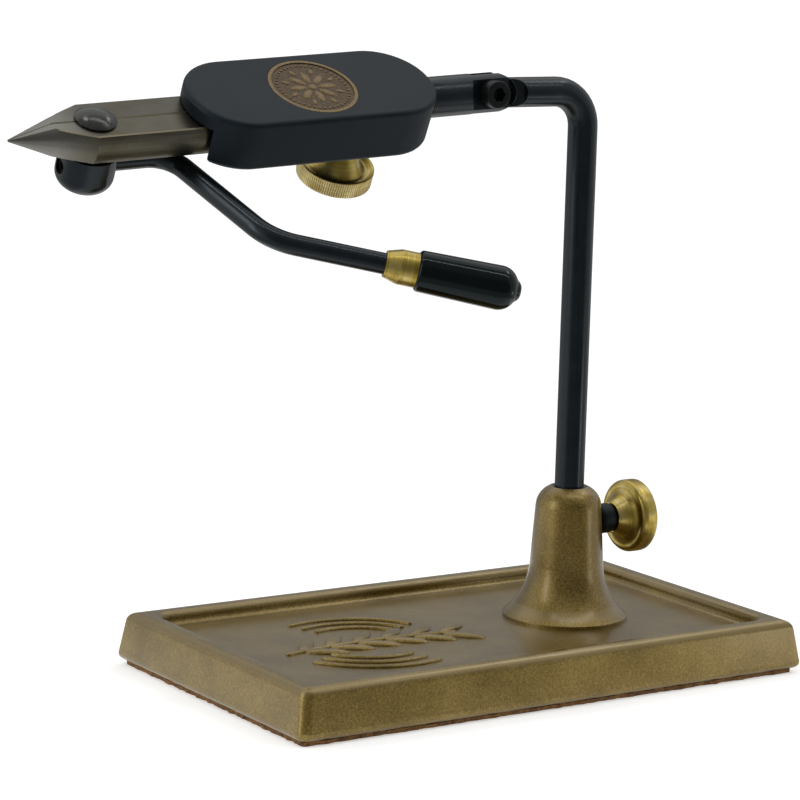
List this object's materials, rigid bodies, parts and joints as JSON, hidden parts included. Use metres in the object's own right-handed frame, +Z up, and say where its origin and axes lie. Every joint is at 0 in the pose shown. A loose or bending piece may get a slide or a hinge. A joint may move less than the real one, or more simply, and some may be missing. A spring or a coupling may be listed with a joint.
{
  "type": "fly tying vise",
  "caption": "Pedestal fly tying vise: heavy tray base, bent stem, tilting and rotating head, lever-operated jaws with a cone point, brass lock knobs.",
  "frame": {"origin": "centre of the underside of the base", "axes": "+Z up, +X along the base towards the stem, -X the way the jaws point, -Y the side of the lever"},
  "size_m": [0.252, 0.1217, 0.1963],
  "materials": {
    "bronze_paint": "cast iron with a bronze hammertone coat",
    "cork": "cork sheet",
    "black_oxide": "steel bar with a black oxide finish",
    "brass": "turned brass",
    "zinc_steel": "bare steel",
    "black_plastic": "black nylon",
    "soft_brass": "soft brass",
    "screw_steel": "black screw steel",
    "black_coat": "aluminium with a satin black coat",
    "bronze_plate": "antique bronze plate",
    "tool_steel": "ground and bronzed tool steel",
    "blued_steel": "blued steel",
    "grip_vinyl": "glossy black vinyl"
  },
  "bodies": {
    "base": {"base_casting": "bronze_paint", "bench_pad": "cork"},
    "stem_lock": {"stem_lock_knob": "brass", "stem_lock_stud": "zinc_steel", "stem_lock_collar": "black_plastic", "stem_lock_shoe": "soft_brass"},
    "swivel": {"stem_bush": "black_oxide"},
    "column": {"stem": "black_oxide"},
    "arm": {"head_arm": "black_oxide", "tilt_screw": "screw_steel", "tilt_nut": "screw_steel"},
    "head": {"head_housing": "black_coat", "badge": "bronze_plate", "arm_bush": "soft_brass", "channel_cover": "black_coat", "cover_screws": "screw_steel", "jaw_pivot_pins": "zinc_steel", "near_jaw_spring": "zinc_steel", "far_jaw_spring": "zinc_steel"},
    "rotary_lock": {"rotary_lock_knob": "brass", "rotary_lock_stud": "zinc_steel", "rotary_lock_collar": "black_plastic", "rotary_lock_shoe": "soft_brass"},
    "jaw_near": {"near_jaw": "tool_steel"},
    "jaw_far": {"far_jaw": "tool_steel"},
    "lever": {"lever_hub": "blued_steel", "cam_pin": "blued_steel", "hub_washer": "black_plastic", "hub_set_screw": "screw_steel", "lever_rod": "blued_steel", "lever_ferrule": "brass", "lever_grip": "grip_vinyl"}
  },
  "joints": [
    {"name": "stem_lock_turn", "type": "hinge", "parent": "base", "child": "stem_lock", "pos_m": [0.0607, 0, 0.0438], "axis": [1, 0, 0], "range_deg": [0, 360]},
    {"name": "stem_swivel", "type": "hinge", "parent": "base", "child": "swivel", "pos_m": [0.0407, 0, 0.04], "axis": [0, 0, 1], "continuous": true},
    {"name": "stem_height", "type": "slide", "parent": "swivel", "child": "column", "axis": [0, 0, 1], "range_m": [-0.008, 0.025]},
    {"name": "head_tilt", "type": "hinge", "parent": "column", "child": "arm", "pos_m": [0.00272, 0.00133, 0.1837], "axis": [0.0349, 0.9994, 0], "range_deg": [-20, 60]},
    {"name": "head_rotation", "type": "hinge", "parent": "arm", "child": "head", "pos_m": [-0.03719, 0.00272, 0.1814], "axis": [-0.9977, 0.0348, -0.0576], "continuous": true},
    {"name": "rotary_lock_turn", "type": "hinge", "parent": "head", "child": "rotary_lock", "pos_m": [-0.04312, 0.01266, 0.16353], "axis": [0.0672, 0.4843, -0.8723], "range_deg": [0, 360]},
    {"name": "lever_squeeze", "type": "hinge", "parent": "head", "child": "lever", "pos_m": [-0.13041, 0.01225, 0.16472], "axis": [-0.0672, -0.4843, 0.8723], "range_deg": [0, 25], "stiffness_Nm_per_rad": 5, "springref_deg": -5.73},
    {"name": "near_jaw_open", "type": "hinge", "parent": "head", "child": "jaw_near", "pos_m": [-0.06596, 0.00059, 0.17508], "axis": [-0.0672, -0.4843, 0.8723], "range_deg": [0, 1.1], "deforming": ["near_jaw_spring"]},
    {"name": "far_jaw_open", "type": "hinge", "parent": "head", "child": "jaw_far", "pos_m": [-0.06594, 0.00934, 0.17993], "axis": [0.0672, 0.4843, -0.8723], "range_deg": [0, 1.1], "deforming": ["far_jaw_spring"]}
  ],
  "couplings": [
    {"joint": "near_jaw_open", "follows": "lever_squeeze", "ratio": 0.044},
    {"joint": "far_jaw_open", "follows": "lever_squeeze", "ratio": 0.044}
  ]
}
